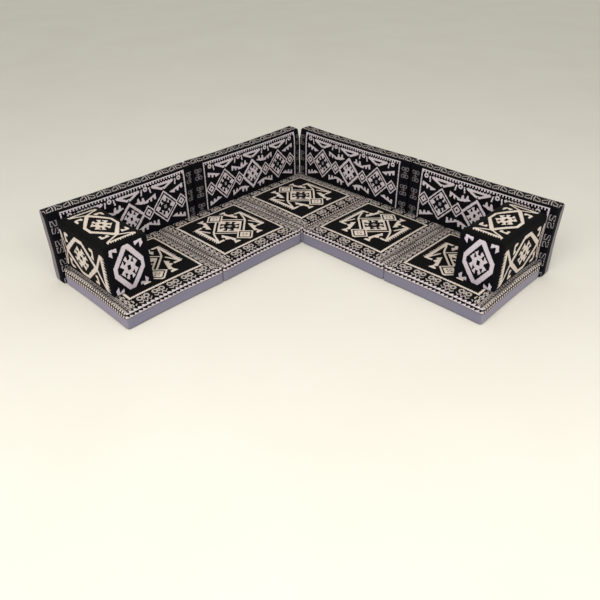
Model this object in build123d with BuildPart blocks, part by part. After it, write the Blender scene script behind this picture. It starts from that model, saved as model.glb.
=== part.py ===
from build123d import *
import os

# A majlis floor sofa: an L of square seat mattresses that lie on the floor, a row of back
# cushions that stand behind them on the floor, and a block arm cushion on each end seat.
# Millimetres, +Z up. +X runs along the right wing, whose back cushions are on its +Y side,
# and the left wing runs along -Y, with its back cushions on its -X side. The origin is
# under the middle of the whole sofa, on the floor. The left wing mirrors the right one
# about the upright plane through the corner and the origin.

# Driving dimensions: seat mattresses
seats_per_wing = 3
seat_side = 705.0
seat_edge_height = 122.0
seat_crown = 8.0
seat_edge_round = 16.0
seat_corner_radius = 20.0
seat_draw_in = 5.0
seat_skirt = 51.0

# Driving dimensions: back cushions
backs_per_wing = 2
back_length = 1064.0
back_height = 489.0
back_thickness = 115.0
back_front_crown = 9.0
back_rear_crown = 4.0
back_edge_round = 11.0
back_end_radius = 14.0
back_joint_radius = 14.0
back_foot_radius = 10.0
back_draw_in = 2.0
back_rear_turn = 14.0
back_zip_height = 52.0

# Driving dimensions: arm cushions
arm_width = 280.0
arm_depth = 550.0
arm_edge_height = 310.0
arm_crown = 9.0
arm_edge_round = 18.0
arm_corner_radius = 22.0
arm_draw_in = 5.0
arm_end_inset = 32.0
arm_zip_height = 40.0

# Driving dimensions: cloth, and the room between neighbours
cloth = 2.0
foam_clearance = 0.3
neighbour_gap = 0.4
rest_gap = 0.3

# Driving dimensions: zips. The teeth lie on the floor of a shallow channel of tape behind
# the cloth, so that the slider stays under the surface of the cushion. Each zip ends short
# of the corners of its cushion, where the cloth starts to turn.
seat_zip_margin = 92.5
back_zip_margin = 212.0
arm_zip_margin = 40.0
zip_mouth = 12.0
zip_seam_width = 3.0
zip_tape = 1.0
zip_depth = 4.4
zip_teeth_width = 4.0
zip_teeth_height = 1.2
slider_clearance = 0.3
slider_wall = 1.2
slider_length = 11.0
pull_tab_length = 20.0
pull_tab_width = 6.0
pull_tab_thickness = 1.0

# How an edge turns from a side to a face: inset and drop, as shares of its round
edge_turn_shares = ((0.0, 1.0), (0.14, 0.45), (0.36, 0.17), (0.7, 0.0))

# How a crown rises: inset as a share of the shorter side, and rise as a share of the crown
crown_rise_shares = ((0.07, 0.42), (0.15, 0.72), (0.25, 0.92), (0.36, 1.0))

# How much rounder the corners of a crown become, as a share of its inset, and the most that
# a corner may take of the half side that is left
crown_corner_share = 0.25
corner_room_share = 0.7

# Sizes that follow
seat_height = seat_edge_height + seat_crown
arm_height = arm_edge_height + arm_crown
seam_height = seat_edge_height - seat_skirt
seat_pitch = seat_side + neighbour_gap
back_pitch = back_length + neighbour_gap
seat_wing_length = seats_per_wing * seat_pitch - neighbour_gap
back_wing_length = backs_per_wing * back_pitch - neighbour_gap
wing_length = max(seat_wing_length, back_wing_length)
corner_shift = (wing_length - neighbour_gap - back_thickness) / 2
core_inset = cloth + foam_clearance
seat_zip_length = seat_side - 2 * seat_zip_margin
back_zip_length = back_length - 2 * back_zip_margin
arm_zip_length = arm_width - 2 * arm_zip_margin
zip_channel = zip_mouth + 2 * zip_seam_width
zip_floor = zip_depth + zip_tape
slider_top = zip_depth - zip_teeth_height - slider_clearance - slider_wall

# The right wing starts at the inner rear corner of the seats, and the left one mirrors it
wing_plane = Plane(origin=(-corner_shift, corner_shift, 0), x_dir=(1, 0, 0), z_dir=(0, 0, 1))
diagonal = Plane(origin=(0, 0, 0), x_dir=(0, 0, 1), z_dir=(1, 1, 0))

os.makedirs("parts", exist_ok=True)


def levels(thickness, low_crown, high_crown, edge_round, shorter_side):
    # Inset and height of each section of a cushion, from its low face to its high face
    turned = edge_turn_shares[-1][0] * edge_round
    low_side = []
    high_side = []
    for inset, drop in edge_turn_shares:
        low_side.append((inset * edge_round, low_crown + drop * edge_round))
        high_side.append((inset * edge_round, thickness - high_crown - drop * edge_round))
    for inset, rise in crown_rise_shares:
        reach = turned + inset * shorter_side
        if low_crown > 0:
            low_side.append((reach, low_crown * (1 - rise)))
        if high_crown > 0:
            high_side.append((reach, thickness - high_crown * (1 - rise)))
    return low_side[::-1] + high_side


def between(sections, low, high):
    # The same sections cut off level at low and at high
    kept = []
    for (inset_a, height_a), (inset_b, height_b) in zip(sections, sections[1:]):
        for height in (low, high):
            if height_a < height < height_b:
                share = (height - height_a) / (height_b - height_a)
                kept.append((inset_a + share * (inset_b - inset_a), height))
    kept += [section for section in sections if low <= section[1] <= high]
    return sorted(kept, key=lambda section: section[1])


def outline(low, high, draw_in, radii):
    # A rectangle with round corners, whose sides draw in between them. Draw-ins and radii
    # go anticlockwise, from the low side and from its start.
    corners = [(low[0], low[1]), (high[0], low[1]), (high[0], high[1]), (low[0], high[1])]
    directions = [(1, 0), (0, 1), (-1, 0), (0, -1)]
    for side, (along, sideways) in enumerate(directions):
        after = (side + 1) % len(corners)
        inward = Vector(-sideways, along)
        start = Vector(*corners[side]) + Vector(along, sideways) * radii[side]
        end = Vector(*corners[after]) - Vector(along, sideways) * radii[after]
        if draw_in[side] > 0:
            ThreePointArc(start, (start + end) / 2 + inward * draw_in[side], end)
        else:
            Line(start, end)
        RadiusArc(end, Vector(*corners[after]) + inward * radii[after], -radii[after])


def cushion(shape, skin, low=None, high=None, mode=Mode.ADD):
    # The closed form of a cushion, all of it drawn in by skin, and cut off level at low and
    # at high. A cushion that stands on its low side has a level foot.
    thickness = shape["thickness"]
    length, width = shape["sides"]
    squeeze = (thickness - 2 * skin) / thickness
    sections = [(inset, skin + squeeze * height) for inset, height in shape["levels"]]
    bottom = sections[0][1] if low is None else low
    top = sections[-1][1] if high is None else high
    profiles = []
    for inset, height in between(sections, bottom, top):
        edge = inset + skin
        foot = skin if shape["level_foot"] else edge
        most = corner_room_share * (min(length, width) / 2 - edge)
        radii = [min(radius + crown_corner_share * inset, most) for radius in shape["radii"]]
        if shape["level_foot"]:
            radii[:2] = shape["radii"][:2]
        with BuildSketch(shape["plane"].offset(height)) as profile:
            with BuildLine():
                outline(
                    (edge - length / 2, foot - width / 2),
                    (length / 2 - edge, width / 2 - edge),
                    shape["draw_in"],
                    radii,
                )
            make_face()
        profiles.append(profile.sketch)
    loft(profiles, ruled=True, mode=mode)


def finish(piece, name, mirrored):
    # Writes the piece, and for the right wing its mirror image in the left wing too
    piece.part.label = name
    export_step(piece.part, "parts/" + name + ".step")
    if mirrored:
        with BuildPart() as other:
            mirror(piece.part, about=diagonal)
        other.part.label = name.replace("right", "left")
        export_step(other.part, "parts/" + other.part.label + ".step")


def zip_cut(zip_plane, length, width, depth):
    # Takes the room of a zip out of the piece that is being made
    with BuildSketch(zip_plane) as mouth:
        Rectangle(length, width)
    extrude(mouth.sketch, amount=-depth, mode=Mode.SUBTRACT)


def zip_room(zip_plane, length):
    # The groove in the foam behind a zip
    zip_cut(
        zip_plane,
        length + 2 * zip_seam_width + 2 * foam_clearance,
        zip_channel + 2 * foam_clearance,
        zip_floor + foam_clearance,
    )


def make_zip(name, zip_plane, length, mirrored):
    # A channel of tape behind the mouth in the cloth, with the teeth along its floor
    with BuildPart() as zip_strip:
        with BuildSketch(zip_plane.offset(-cloth)):
            Rectangle(length + 2 * zip_seam_width, zip_channel)
        extrude(amount=cloth - zip_floor)
        with BuildSketch(zip_plane.offset(-cloth)):
            Rectangle(length, zip_mouth)
        extrude(amount=cloth - zip_depth, mode=Mode.SUBTRACT)
        with BuildSketch(zip_plane.offset(-zip_depth)):
            Rectangle(length, zip_teeth_width)
        extrude(amount=zip_teeth_height)
    finish(zip_strip, name + "_zip", mirrored)

    # The slider straddles the teeth at one end, and its pull tab lies along them
    body_centre = length / 2 - slider_length / 2 - slider_clearance
    tab_centre = body_centre + slider_length / 4 - pull_tab_length / 2
    inner_width = zip_teeth_width + 2 * slider_clearance
    outer_width = inner_width + 2 * slider_wall
    slider_foot = zip_depth - slider_clearance
    with BuildPart() as slider:
        with BuildSketch(zip_plane.offset(-slider_foot)):
            with Locations((body_centre, 0)):
                Rectangle(slider_length, outer_width)
        extrude(amount=slider_foot - slider_top)
        with BuildSketch(zip_plane.offset(-slider_foot)):
            with Locations((body_centre, 0)):
                Rectangle(slider_length, inner_width)
        extrude(amount=slider_foot - slider_top - slider_wall, mode=Mode.SUBTRACT)
        with BuildSketch(zip_plane.offset(-slider_top)):
            with Locations((tab_centre, 0)):
                SlotOverall(pull_tab_length, pull_tab_width)
        extrude(amount=pull_tab_thickness)
    finish(slider, name + "_slider", mirrored)


def make_seat(name, place, draw_in, mirrored):
    # Foam slab, patterned top cover with a skirt, plain side band and base cloth
    centre = (place * seat_pitch + seat_side / 2, -seat_side / 2)
    shape = {
        "plane": Plane(
            wing_plane.from_local_coords(Vector(*centre)),
            x_dir=wing_plane.x_dir,
            z_dir=wing_plane.z_dir,
        ),
        "sides": (seat_side, seat_side),
        "thickness": seat_height,
        "levels": levels(seat_height, 0, seat_crown, seat_edge_round, seat_side),
        "draw_in": draw_in,
        "radii": [seat_corner_radius] * 4,
        "level_foot": False,
    }
    zip_plane = Plane(
        wing_plane.from_local_coords(Vector(centre[0], 0, seam_height / 2)),
        x_dir=-wing_plane.x_dir,
        z_dir=wing_plane.y_dir,
    )

    with BuildPart() as core:
        cushion(shape, core_inset)
        zip_room(zip_plane, seat_zip_length)
    finish(core, name + "_core", mirrored)

    with BuildPart() as cover:
        cushion(shape, 0, low=seam_height)
        cushion(shape, cloth, low=seam_height, mode=Mode.SUBTRACT)
    finish(cover, name + "_cover", mirrored)

    with BuildPart() as band:
        cushion(shape, 0, low=cloth, high=seam_height)
        cushion(shape, cloth, low=cloth, high=seam_height, mode=Mode.SUBTRACT)
        zip_cut(zip_plane, seat_zip_length, zip_mouth, zip_depth)
    finish(band, name + "_band", mirrored)

    with BuildPart() as base:
        cushion(shape, 0, high=cloth)
    finish(base, name + "_base", mirrored)

    make_zip(name, zip_plane, seat_zip_length, mirrored)


def make_back(name, place, top_radii, mirrored):
    # Foam slab, patterned cover on the front, top and ends, and plain cloth on the rear
    # and the foot
    start = place * back_pitch
    rear = neighbour_gap + back_thickness
    shape = {
        "plane": Plane(
            wing_plane.from_local_coords(Vector(start + back_length / 2, rear, back_height / 2)),
            x_dir=wing_plane.x_dir,
            z_dir=-wing_plane.y_dir,
        ),
        "sides": (back_length, back_height),
        "thickness": back_thickness,
        "levels": levels(
            back_thickness, back_rear_crown, back_front_crown, back_edge_round, back_height
        ),
        "draw_in": (0, 0, back_draw_in, 0),
        "radii": [back_foot_radius, back_foot_radius, top_radii[1], top_radii[0]],
        "level_foot": True,
    }
    foot_plane = Plane.XY.offset(cloth)
    rear_seam = back_rear_crown + back_rear_turn
    zip_plane = Plane(
        wing_plane.from_local_coords(Vector(start + back_length / 2, rear, back_zip_height)),
        x_dir=-wing_plane.x_dir,
        z_dir=wing_plane.y_dir,
    )

    with BuildPart() as core:
        cushion(shape, core_inset)
        zip_room(zip_plane, back_zip_length)
    finish(core, name + "_core", mirrored)

    with BuildPart() as cover:
        cushion(shape, 0, low=rear_seam)
        cushion(shape, cloth, low=rear_seam, mode=Mode.SUBTRACT)
        split(bisect_by=foot_plane, keep=Keep.TOP)
    finish(cover, name + "_cover", mirrored)

    with BuildPart() as rear_cloth:
        cushion(shape, 0, low=rear_seam)
        split(bisect_by=foot_plane, keep=Keep.BOTTOM)
        cushion(shape, 0, high=rear_seam)
        cushion(shape, cloth, high=rear_seam, mode=Mode.SUBTRACT)
        zip_cut(zip_plane, back_zip_length, zip_mouth, zip_depth)
    finish(rear_cloth, name + "_rear", mirrored)

    make_zip(name, zip_plane, back_zip_length, mirrored)


def make_arm(name, mirrored):
    # Foam block, patterned cover on the top and sides, and base cloth
    outer_side = seat_wing_length - arm_end_inset
    base_height = seat_height + rest_gap
    centre = (outer_side - arm_width / 2, -arm_depth / 2)
    shape = {
        "plane": Plane(
            wing_plane.from_local_coords(Vector(centre[0], centre[1], base_height)),
            x_dir=wing_plane.x_dir,
            z_dir=wing_plane.z_dir,
        ),
        "sides": (arm_width, arm_depth),
        "thickness": arm_height,
        "levels": levels(arm_height, 0, arm_crown, arm_edge_round, arm_width),
        "draw_in": (arm_draw_in, arm_draw_in, 0, arm_draw_in),
        "radii": [arm_corner_radius] * 4,
        "level_foot": False,
    }
    zip_plane = Plane(
        wing_plane.from_local_coords(Vector(centre[0], 0, base_height + arm_zip_height)),
        x_dir=-wing_plane.x_dir,
        z_dir=wing_plane.y_dir,
    )

    with BuildPart() as core:
        cushion(shape, core_inset)
        zip_room(zip_plane, arm_zip_length)
    finish(core, name + "_core", mirrored)

    with BuildPart() as cover:
        cushion(shape, 0, low=cloth)
        cushion(shape, cloth, low=cloth, mode=Mode.SUBTRACT)
        zip_cut(zip_plane, arm_zip_length, zip_mouth, zip_depth)
    finish(cover, name + "_cover", mirrored)

    with BuildPart() as base:
        cushion(shape, 0, high=cloth)
    finish(base, name + "_base", mirrored)

    make_zip(name, zip_plane, arm_zip_length, mirrored)


# Seats: the corner one is hemmed in on every side, and the free sides of the others draw in
make_seat("seat_corner", 0, (0, 0, 0, 0), False)
for number in range(1, seats_per_wing):
    end_draw_in = seat_draw_in if number == seats_per_wing - 1 else 0
    make_seat(f"seat_right_{number}", number, (seat_draw_in, end_draw_in, 0, 0), True)

# Backs: the free top corners are rounder than those that meet at a joint
for number in range(backs_per_wing):
    start_radius = back_end_radius if number == 0 else back_joint_radius
    end_radius = back_end_radius if number == backs_per_wing - 1 else back_joint_radius
    make_back(f"back_right_{number + 1}", number, (start_radius, end_radius), True)

make_arm("arm_right", True)
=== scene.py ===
import math

import bmesh
import bpy
import numpy as np
from mathutils import Matrix, Vector, noise


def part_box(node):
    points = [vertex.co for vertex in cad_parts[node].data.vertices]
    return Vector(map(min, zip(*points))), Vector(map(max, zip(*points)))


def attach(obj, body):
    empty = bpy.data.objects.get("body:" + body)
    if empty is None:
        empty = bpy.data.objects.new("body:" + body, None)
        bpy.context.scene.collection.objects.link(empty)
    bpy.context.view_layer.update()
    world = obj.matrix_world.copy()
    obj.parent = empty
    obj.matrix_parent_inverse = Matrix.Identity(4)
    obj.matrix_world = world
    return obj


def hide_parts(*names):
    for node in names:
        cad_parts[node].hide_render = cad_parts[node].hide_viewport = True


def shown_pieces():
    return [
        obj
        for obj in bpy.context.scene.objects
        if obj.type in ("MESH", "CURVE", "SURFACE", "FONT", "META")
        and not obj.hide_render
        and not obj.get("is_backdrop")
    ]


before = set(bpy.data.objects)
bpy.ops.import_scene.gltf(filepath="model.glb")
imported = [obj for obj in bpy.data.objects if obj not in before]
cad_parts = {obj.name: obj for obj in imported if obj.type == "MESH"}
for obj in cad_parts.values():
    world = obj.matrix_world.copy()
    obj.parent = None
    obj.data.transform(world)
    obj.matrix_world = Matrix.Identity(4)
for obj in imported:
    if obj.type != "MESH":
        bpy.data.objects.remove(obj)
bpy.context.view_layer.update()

# The right wing runs along X with its backs on the +Y side. Every cushion is made there, and
# those of the left wing are turned over the diagonal, (x, y) to (-y, -x).


# Cushion forms
def lineStops(low, high, cell, through=None):  # grid lines, with one of them at through
    if through is None:
        return list(np.linspace(low, high, round((high - low) / cell) + 1))
    below = max(1, round((through - low) / cell))
    above = max(1, round((high - through) / cell))
    return list(np.linspace(low, through, below + 1)) + list(np.linspace(through, high, above + 1))[1:]


sideNames = ("top", "bottom", "front", "rear", "start", "end")


def boxNet(stops):  # a closed box of six gridded sides, with its flat cloth places as UVs
    form = bmesh.new()
    flat = form.loops.layers.uv.new("flatCloth")
    label = form.faces.layers.int.new("side")
    plan = (("top", 0, 1, 2, -1), ("bottom", 0, 1, 2, 0), ("front", 0, 2, 1, 0),
            ("rear", 0, 2, 1, -1), ("start", 1, 2, 0, 0), ("end", 1, 2, 0, -1))
    for name, across, up, fixed, which in plan:
        us = stops[across]
        vs = stops[up]
        grid = bmesh.ops.create_grid(form, x_segments=len(us) - 1, y_segments=len(vs) - 1, size=1.0)
        faces = set()
        for vert in grid["verts"]:
            place = [0.0, 0.0, 0.0]
            place[across] = us[round((vert.co.x + 1) / 2 * (len(us) - 1))]
            place[up] = vs[round((vert.co.y + 1) / 2 * (len(vs) - 1))]
            place[fixed] = stops[fixed][which]
            vert.co = place
            faces.update(vert.link_faces)
        for face in faces:
            face[label] = sideNames.index(name)
            for loop in face.loops:
                loop[flat].uv = (loop.vert.co[across] - us[0], loop.vert.co[up] - vs[0])
    bmesh.ops.remove_doubles(form, verts=form.verts, dist=0.0001)
    bmesh.ops.recalc_face_normals(form, faces=form.faces)
    return form


def bodyOf(form, name):  # a smooth mesh object of the finished form, linked to the scene
    mesh = bpy.data.meshes.new(name)
    form.to_mesh(mesh)
    form.free()
    for polygon in mesh.polygons:
        polygon.use_smooth = True
    body = bpy.data.objects.new(name, mesh)
    bpy.context.scene.collection.objects.link(body)
    return body


def roundCorners(a, b, low, high, radii):  # pulls the plane's corners in; radii anticlockwise
    corners = (((low[0], low[1]), (1, 1)), ((high[0], low[1]), (-1, 1)),
               ((high[0], high[1]), (-1, -1)), ((low[0], high[1]), (1, -1)))
    for ((cornerA, cornerB), (signA, signB)), radius in zip(corners, radii):
        zone = 2.4 * radius
        da = zone - (a - cornerA) * signA
        db = zone - (b - cornerB) * signB
        here = (da > 1e-6) & (db > 1e-6)
        reach = np.maximum(da, db) / zone
        angle = np.arctan2(np.maximum(db, 1e-9), np.maximum(da, 1e-9))
        square = zone / np.maximum(np.cos(angle), np.sin(angle))
        middle = zone - radius
        along = middle * (np.cos(angle) + np.sin(angle))
        curve = along + np.sqrt(np.maximum(along ** 2 - 2 * middle ** 2 + radius ** 2, 0))
        straight = np.minimum(da, db) * zone < middle * np.maximum(da, db)
        scale = np.where(straight, 1, 1 - (1 - np.minimum(curve / square, 1)) * reach ** 2)
        a = np.where(here, cornerA + signA * (zone - da * scale), a)
        b = np.where(here, cornerB + signB * (zone - db * scale), b)
    return a, b


def ramp(values, start, end):
    share = np.clip((values - start) / (end - start), 0, 1)
    return share * share * (3 - 2 * share)


def rise(share):  # how a crown comes up from an edge
    return 1 - (1 - np.clip(share, 0, 1)) ** 2.4


def verticesOf(mesh, kind="co"):  # the places of the vertices, or their normals
    values = np.empty(len(mesh.vertices) * 3)
    mesh.vertices.foreach_get(kind, values)
    return values.reshape(-1, 3)


def moveVertices(mesh, places):
    mesh.vertices.foreach_set("co", places.ravel())
    mesh.update()


def shapeCushion(places, low, high, shape):
    # shape: plane axes and thickness axis, corner radii, crowns, edge round and draw-ins
    planeA, planeB, thick = shape["axes"]
    a = places[:, planeA].copy()
    b = places[:, planeB].copy()
    t = places[:, thick].copy()
    lowA, highA = low[planeA], high[planeA]
    lowB, highB = low[planeB], high[planeB]
    near = 1e-5
    sideA = (a < lowA + near) | (a > highA - near)
    sideB = (b < lowB + near) | (b > highB - near)
    footB = (b < lowB + near) & shape["levelFoot"]
    onLow = t < low[thick] + near
    onHigh = t > high[thick] - near
    crownReach = 0.36 * min(highA - lowA, highB - lowB)

    # the edges between the faces and the sides ease in by a part of their round
    ease = 0.29 * shape["edgeRound"]
    faceEdge = (onLow | onHigh) & (sideA | (sideB & ~footB))
    t = np.where(faceEdge & onHigh, t - ease, t)
    t = np.where(faceEdge & onLow, t + ease * shape["lowEase"], t)
    easeHere = np.where(onLow, ease * shape["lowEase"], ease)
    a = np.where(faceEdge & sideA, a + np.sign((lowA + highA) / 2 - a) * easeHere, a)
    b = np.where(faceEdge & sideB & ~footB, b + np.sign((lowB + highB) / 2 - b) * easeHere, b)

    # crowns
    fromA = np.minimum(a - lowA, highA - a)
    fromB = np.minimum(b - lowB, highB - b)
    if shape["levelFoot"]:
        fromB = highB - b
    full = rise(fromA / crownReach) * rise(fromB / crownReach)
    t = np.where(onHigh & ~faceEdge, t + shape["highCrown"] * full, t)
    t = np.where(onLow & ~faceEdge, t - shape["lowCrown"] * full, t)

    a, b = roundCorners(a, b, (lowA, lowB), (highA, highB), shape["radii"])
    if "push" in shape:  # two backs that meet in a corner touch below and part at their tops
        share = ramp(b, *shape["pushHeights"]) * np.clip(1 - (a - lowA) / shape["pushReach"], 0, 1)
        a = a - shape["push"] * share
        t = t - shape["forward"] * share * np.clip(1 - (t - low[thick]) / shape["forwardReach"], 0, 1)

    # the sides draw in between their corners: low b, high a, high b, low a
    shareA = (a - lowA) / (highA - lowA) * 2 - 1
    shareB = (b - lowB) / (highB - lowB) * 2 - 1
    drawLowB, drawHighA, drawHighB, drawLowA = shape["drawIn"]
    bowA = 1 - np.clip(shareA, -1, 1) ** 2
    bowB = 1 - np.clip(shareB, -1, 1) ** 2
    b = b + drawLowB * bowA * np.clip(-shareB, 0, 1) ** 6
    b = b - drawHighB * bowA * np.clip(shareB, 0, 1) ** 6
    a = a - drawHighA * bowB * np.clip(shareA, 0, 1) ** 6
    a = a + drawLowA * bowB * np.clip(-shareA, 0, 1) ** 6
    result = places.copy()
    result[:, planeA] = a
    result[:, planeB] = b
    result[:, thick] = t
    return result


def addWaves(places, normals, seed, amount):  # hand-stuffed unevenness
    moved = places.copy()
    offset = Vector((seed * 3.1, seed * 1.7, seed * 0.9))
    for index, place in enumerate(places):
        point = Vector(place)
        broad = noise.noise(point * 3.5 + offset) * amount
        small = noise.noise(point * 11 + offset) * amount * 0.35
        moved[index] += np.array(normals[index]) * (broad + small)
    return moved


cushions = []
free = math.inf  # a side with no neighbour


def startCushion(name, low, high, through, shape, seed, holdFlat, room):
    # through: the grid line of the seam on each axis; room: how far each side may reach
    kind = name.split("_")[0]
    settings = settingsOf[kind]
    stops = [lineStops(low[axis], high[axis], settings["cell"], through[axis]) for axis in range(3)]
    net = bodyOf(boxNet(stops), name + "Net")
    flatPlaces = verticesOf(net.data)
    places = shapeCushion(flatPlaces, low, high, shape)
    moveVertices(net.data, places)
    waved = addWaves(places, verticesOf(net.data, "normal"), seed, settings["waves"])
    hold = holdFlat(flatPlaces)[:, None]
    moveVertices(net.data, places + (waved - places) * hold)
    cushions.append({
        "name": name, "kind": kind, "mirrored": "left" in name, "low": low, "high": high,
        "size": high - low, "net": net, "hold": hold, "room": room,
        "zipMiddle": (low[0] + high[0]) / 2, "zipHeight": low[2] + settings["zipHeight"],
    })


def boxOf(*nodes):  # the box of several CAD nodes together
    lows = np.array([tuple(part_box(node)[0]) for node in nodes])
    highs = np.array([tuple(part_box(node)[1]) for node in nodes])
    return lows.min(0), highs.max(0)


seats = {
    "side": 0.705,
    "cell": 0.014,  # of the first net; two subdivisions make four woven cells of it each way
    "seam": 0.071,
    "edgeHeight": 0.122,
    "topStart": 0.118,  # the cloth above it has no seam to dip for
    "cornerRadius": 0.020,
    "edgeRound": 0.015,
    "lowEase": 0.4,
    "drawIn": 0.005,
    "waves": 0.0022,
    "swell": 0.009,
    "footHold": (0.004, 0.050),  # from held to free
    "sideHold": 0.05,
    "jointShare": 0.35,  # of the swelling that is left next to a neighbour
    "zipHeight": 0.0355,
    "zipLength": 0.520,
    "fill": 0.9,
}


def makeSeat(name, number, seed):  # number: 0 in the corner, 2 at the wing's end
    source = "seat_corner" if number == 0 else f"seat_right_{number}"
    low, high = boxOf(source + "_cover", source + "_band", source + "_base")
    low[2] = 0.0
    crownTop = high[2]
    high[2] = seats["edgeHeight"]
    endDraw = seats["drawIn"] if number == 2 else 0.0
    frontDraw = 0.0 if number == 0 else seats["drawIn"]
    room = (
        (low[0], low[1] if number == 0 else -free, low[2]),
        (free if number == 2 else high[0], high[1], free),
    )
    shape = {
        "axes": (0, 1, 2), "levelFoot": False, "radii": [seats["cornerRadius"]] * 4,
        "edgeRound": seats["edgeRound"], "lowEase": seats["lowEase"],
        "highCrown": crownTop - high[2], "lowCrown": 0.0, "drawIn": (frontDraw, endDraw, 0.0, 0.0),
    }

    def holdFlat(flat):  # 0 where the floor or a neighbour holds it, 1 where it swells freely
        reach = seats["sideHold"]
        least = seats["jointShare"]
        weight = ramp(flat[:, 2], *seats["footHold"])
        weight *= ramp(high[1] - flat[:, 1], 0.0, reach) * 0.9 + 0.1 * (flat[:, 2] > 0.09)
        if number != 0:
            weight *= least + (1 - least) * ramp(flat[:, 0] - low[0], 0.0, reach)
        if number != 2:
            weight *= least + (1 - least) * ramp(high[0] - flat[:, 0], 0.0, reach)
        return weight

    startCushion(name, low, high, (None, None, seats["seam"]), shape, seed, holdFlat, room)


backs = {
    "cell": 0.014,
    "height": 0.489,
    "thickness": 0.115,
    "crown": 0.0085,
    "rearCrown": 0.004,
    "edgeRound": 0.010,
    "footRadius": 0.010,
    "endRadius": 0.014,
    "jointRadius": 0.014,
    "drawIn": 0.002,
    "waves": 0.0022,
    "swell": 0.008,
    "footHold": (0.004, 0.060),
    "rearHold": (0.080, 0.180),
    "rearZone": 0.02,
    "rearTurn": 0.0175,
    "zipHeight": 0.052,
    "zipLength": 0.640,
    "fill": 0.85,
    "corner": {  # of the two backs that meet in the corner
        "push": 0.013,
        "pushHeights": (0.485, 0.385),  # from none to all of it
        "pushReach": 0.12,
        "forward": 0.0063,
        "forwardReach": 0.03,
    },
}


def rearLine(high):  # where the front cloth of a back meets its rear cloth
    return high[1] + backs["rearCrown"] - backs["rearTurn"]


def makeBack(name, number, seed):  # number: 1 in the corner, 2 at the wing's end
    source = f"back_right_{number}"
    low, high = boxOf(source + "_cover", source + "_rear")
    low = np.array([low[0], high[1] - backs["thickness"] + backs["crown"], 0.0])
    high = np.array([high[0], high[1] - backs["rearCrown"], backs["height"]])
    startRadius = backs["endRadius"] if number == 1 else backs["jointRadius"]
    endRadius = backs["endRadius"] if number == 2 else backs["jointRadius"]
    foot = backs["footRadius"]
    shape = {
        "axes": (0, 2, 1), "levelFoot": True, "radii": [foot, foot, endRadius, startRadius],
        "edgeRound": backs["edgeRound"], "lowEase": 1.0, "highCrown": backs["rearCrown"],
        "lowCrown": backs["crown"], "drawIn": (0.0, 0.0, backs["drawIn"], 0.0),
    }
    push = 0.0
    if number == 1:
        shape.update(backs["corner"])
        push = shape["push"]

    def holdFlat(flat):
        weight = ramp(flat[:, 2], *backs["footHold"])
        nearRear = flat[:, 1] > high[1] - backs["rearZone"]
        return np.where(nearRear, ramp(flat[:, 2], *backs["rearHold"]), weight)

    room = ((low[0] - push, -free, low[2]), (high[0], free, free))
    startCushion(name, low, high, (None, rearLine(high), None), shape, seed, holdFlat, room)


arms = {
    "width": 0.280,
    "depth": 0.550,
    "edgeHeight": 0.310,
    "cell": 0.014,
    "cornerRadius": 0.022,
    "edgeRound": 0.017,
    "lowEase": 0.5,
    "drawIn": 0.005,
    "waves": 0.0022,
    "swell": 0.005,
    "footHold": (0.004, 0.060),
    "rearHold": 0.05,
    "zipHeight": 0.040,
    "zipLength": 0.200,
    "fill": 0.9,
}


def makeArm(name, seed):
    low, high = boxOf("arm_right_cover", "arm_right_base")
    crownTop = high[2]
    high[2] = low[2] + arms["edgeHeight"]
    # the sides draw in, so the box of the nodes is narrower than the cushion
    low[:2] = high[:2] - (arms["width"], arms["depth"])
    shape = {
        "axes": (0, 1, 2), "levelFoot": False, "radii": [arms["cornerRadius"]] * 4,
        "edgeRound": arms["edgeRound"], "lowEase": arms["lowEase"],
        "highCrown": crownTop - high[2], "lowCrown": 0.0,
        "drawIn": (arms["drawIn"], arms["drawIn"], 0.0, arms["drawIn"]),
    }

    def holdFlat(flat):
        weight = ramp(flat[:, 2] - low[2], *arms["footHold"])
        return weight * ramp(high[1] - flat[:, 1], 0.0, arms["rearHold"])

    room = ((-free, -free, low[2]), (free, high[1], free))
    startCushion(name, low, high, (None, None, None), shape, seed, holdFlat, room)


settingsOf = {"seat": seats, "back": backs, "arm": arms}
makeSeat("seat_corner", 0, 1)
for number in (1, 2):
    makeSeat(f"seat_right_{number}", number, 1 + number)
    makeSeat(f"seat_left_{number}", number, 4 + number)
for number in (1, 2):
    makeBack(f"back_right_{number}", number, 10 + number)
    makeBack(f"back_left_{number}", number, 14 + number)
makeArm("arm_right", 21)
makeArm("arm_left", 22)
print("nets made for", len(cushions), "cushions")


# The covers swell over their foam
swelling = {
    "frames": 20,
    "pressure": 4.0,
    "slack": -0.012,
    "quality": 4,
}


def swellCushions():
    for cushion in cushions:
        cloth = cushion["net"].modifiers.new("swell", "CLOTH")
        cloth.settings.use_pressure = True
        cloth.settings.uniform_pressure_force = swelling["pressure"]
        cloth.settings.effector_weights.gravity = 0
        cloth.settings.quality = swelling["quality"]
        cloth.settings.shrink_min = swelling["slack"]
        cloth.collision_settings.use_collision = False
        cloth.point_cache.frame_start = 1
        cloth.point_cache.frame_end = swelling["frames"]
    for step in range(1, swelling["frames"] + 1):
        bpy.context.scene.frame_set(step)
    graph = bpy.context.evaluated_depsgraph_get()
    for cushion in cushions:
        net = cushion["net"]
        rest = verticesOf(net.data)
        swollen = verticesOf(net.evaluated_get(graph).data)
        net.modifiers.clear()
        move = swollen - rest
        size = np.linalg.norm(move, axis=1)
        share = min(1.0, settingsOf[cushion["kind"]]["swell"] / float(size.max()))
        kept = move * share * cushion["hold"]
        moveVertices(net.data, rest + kept)
        print("swollen", cushion["name"], "by up to", round(float(size.max()), 3), "of which kept",
              round(float(np.linalg.norm(kept, axis=1).max()), 4))
    bpy.context.scene.frame_set(1)


swellCushions()


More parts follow.
